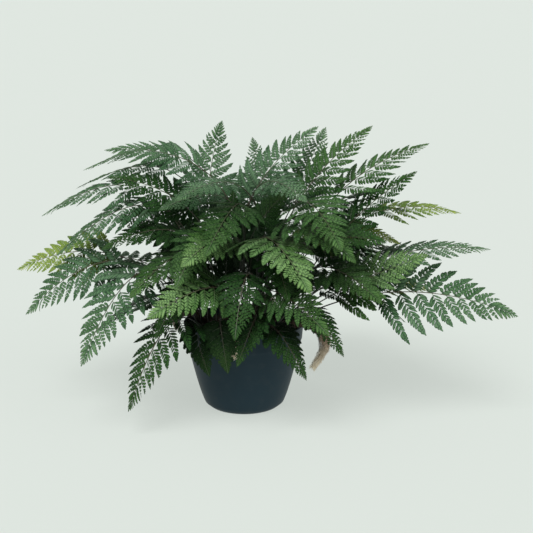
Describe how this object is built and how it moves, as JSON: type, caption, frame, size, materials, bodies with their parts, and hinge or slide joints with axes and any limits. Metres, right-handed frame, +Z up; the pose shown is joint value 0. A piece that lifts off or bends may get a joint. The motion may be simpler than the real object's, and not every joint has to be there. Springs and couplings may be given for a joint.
{
  "type": "potted bear's foot fern",
  "caption": "Round mound of arching, triangular, finely cut fern fronds on thin stipes, with furry rhizomes creeping over the soil and rim of a plain tapered dark nursery pot.",
  "frame": {"origin": "middle of the pot's flat underside", "axes": "+Z up, -Y the front that the picture shows, +X to the right seen from the front"},
  "size_m": [0.8003, 0.518, 0.4461],
  "materials": {
    "pot_plastic": "satin moulded polypropylene, dark anthracite blue-grey",
    "potting_soil": "loose damp peat and bark",
    "rhizome_fur": "woody stem under dense tan and silver hairs",
    "frond_deep": "leathery semi-gloss dark green leaf",
    "frond_mid": "leathery semi-gloss green leaf",
    "frond_grey": "leathery grey-green leaf with a dull bloom",
    "frond_fresh": "young semi-gloss bright green leaf",
    "frond_lime": "yellowing lime-green leaf"
  },
  "bodies": {
    "root": {"pot": "pot_plastic", "soil": "potting_soil", "rhizome_back": "rhizome_fur", "rhizome_front": "rhizome_fur", "rhizome_left": "rhizome_fur", "rhizome_right": "rhizome_fur", "frond_01": "frond_fresh", "frond_02": "frond_mid", "frond_03": "frond_fresh", "frond_04": "frond_fresh", "frond_05": "frond_mid", "frond_06": "frond_mid", "frond_07": "frond_mid", "frond_08": "frond_mid", "frond_09": "frond_mid", "frond_10": "frond_deep", "frond_11": "frond_mid", "frond_12": "frond_deep", "frond_13": "frond_deep", "frond_14": "frond_deep", "frond_15": "frond_deep", "frond_16": "frond_deep", "frond_17": "frond_grey", "frond_18": "frond_grey", "frond_19": "frond_grey", "frond_20": "frond_grey", "frond_21": "frond_grey", "frond_22": "frond_grey", "frond_23": "frond_grey", "frond_24": "frond_lime", "frond_25": "frond_grey", "frond_26": "frond_deep", "frond_27": "frond_deep", "frond_28": "frond_deep", "frond_29": "frond_deep", "frond_30": "frond_deep", "frond_31": "frond_deep", "frond_32": "frond_grey", "frond_33": "frond_grey", "frond_34": "frond_grey", "frond_35": "frond_mid", "frond_36": "frond_mid", "frond_37": "frond_deep", "frond_38": "frond_lime", "frond_39": "frond_lime", "frond_40": "frond_grey", "frond_41": "frond_grey", "frond_42": "frond_deep", "frond_43": "frond_fresh", "frond_44": "frond_deep", "frond_45": "frond_deep", "frond_46": "frond_mid", "frond_47": "frond_deep", "frond_48": "frond_deep", "frond_49": "frond_deep", "frond_50": "frond_deep", "frond_51": "frond_mid", "frond_52": "frond_grey", "frond_53": "frond_grey", "frond_54": "frond_grey"}
  },
  "joints": []
}
